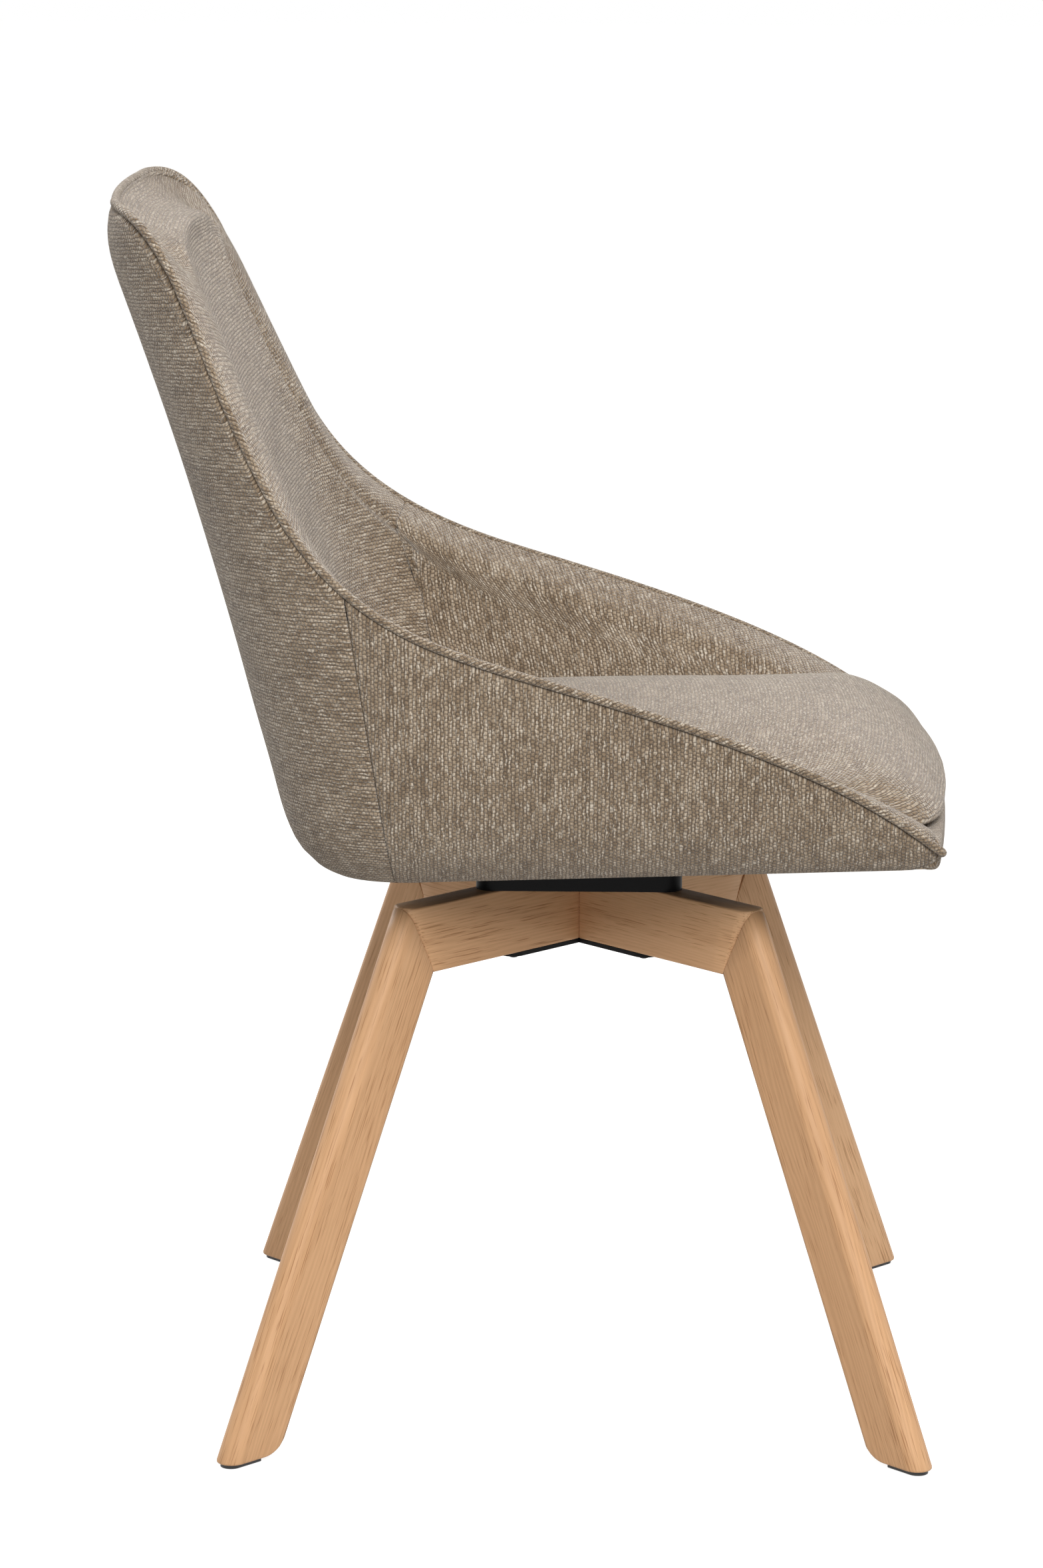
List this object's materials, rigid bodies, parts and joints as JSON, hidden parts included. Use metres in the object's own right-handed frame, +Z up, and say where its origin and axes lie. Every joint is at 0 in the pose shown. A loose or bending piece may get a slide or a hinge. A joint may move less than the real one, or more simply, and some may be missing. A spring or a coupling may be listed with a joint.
{
  "type": "swivel dining chair",
  "caption": "Upholstered bucket seat with a high back and low sloping arms, turning on a ball-bearing swivel above a splayed oak cross base.",
  "frame": {"origin": "on the floor, on the swivel axis, in the middle of the four feet", "axes": "+Z up along the swivel axis; the sitter faces -Y at rest; the sitter's left is +X"},
  "size_m": [0.4954, 0.587, 0.8543],
  "materials": {
    "oak": "matt lacquer",
    "beech_dowel": "raw",
    "plywood": "raw",
    "fabric": "coarse woven melange",
    "lining": "non-woven",
    "black_metal": "satin powder coat",
    "steel": "zinc plated",
    "black_plastic": "moulded"
  },
  "bodies": {
    "base": {"leg_rear_left": "oak", "leg_rear_right": "oak", "leg_front_right": "oak", "leg_front_left": "oak", "rail_rear_left": "oak", "rail_rear_right": "oak", "rail_front_right": "oak", "rail_front_left": "oak", "corner_dowels": "beech_dowel", "cross_dowels": "beech_dowel", "glide_rear_left": "black_plastic", "glide_rear_right": "black_plastic", "glide_front_right": "black_plastic", "glide_front_left": "black_plastic", "glide_nails": "steel", "lower_bracket": "black_metal", "frame_bolts": "black_metal", "frame_nuts": "steel", "swivel_tray": "black_metal", "lower_race": "steel", "pivot_pin": "steel", "pivot_washer": "steel", "pivot_nut": "steel"},
    "ball_cage": {"ball_cage": "steel", "bearing_balls": "steel"},
    "seat": {"upper_race": "steel", "swivel_top_plate": "black_metal", "seat_bolts": "steel", "tee_nuts": "steel", "seat_board": "plywood", "back_shell": "plywood", "side_shell_left": "plywood", "side_shell_right": "plywood", "shell_screws": "steel", "outer_back_cover": "fabric", "outer_side_cover_left": "fabric", "outer_side_cover_right": "fabric", "inner_back_pad": "fabric", "inner_arm_pad_left": "fabric", "inner_arm_pad_right": "fabric", "seat_cushion": "fabric", "front_band": "fabric", "rim_piping": "fabric", "dust_cover": "lining"}
  },
  "joints": [
    {"name": "seat_swivel", "type": "hinge", "parent": "base", "child": "seat", "pos_m": [0, 0, 0.38], "axis": [0, 0, 1], "continuous": true},
    {"name": "cage_turn", "type": "hinge", "parent": "base", "child": "ball_cage", "pos_m": [0, 0, 0.38], "axis": [0, 0, 1], "continuous": true}
  ],
  "couplings": [
    {"joint": "cage_turn", "follows": "seat_swivel", "ratio": 0.5}
  ]
}
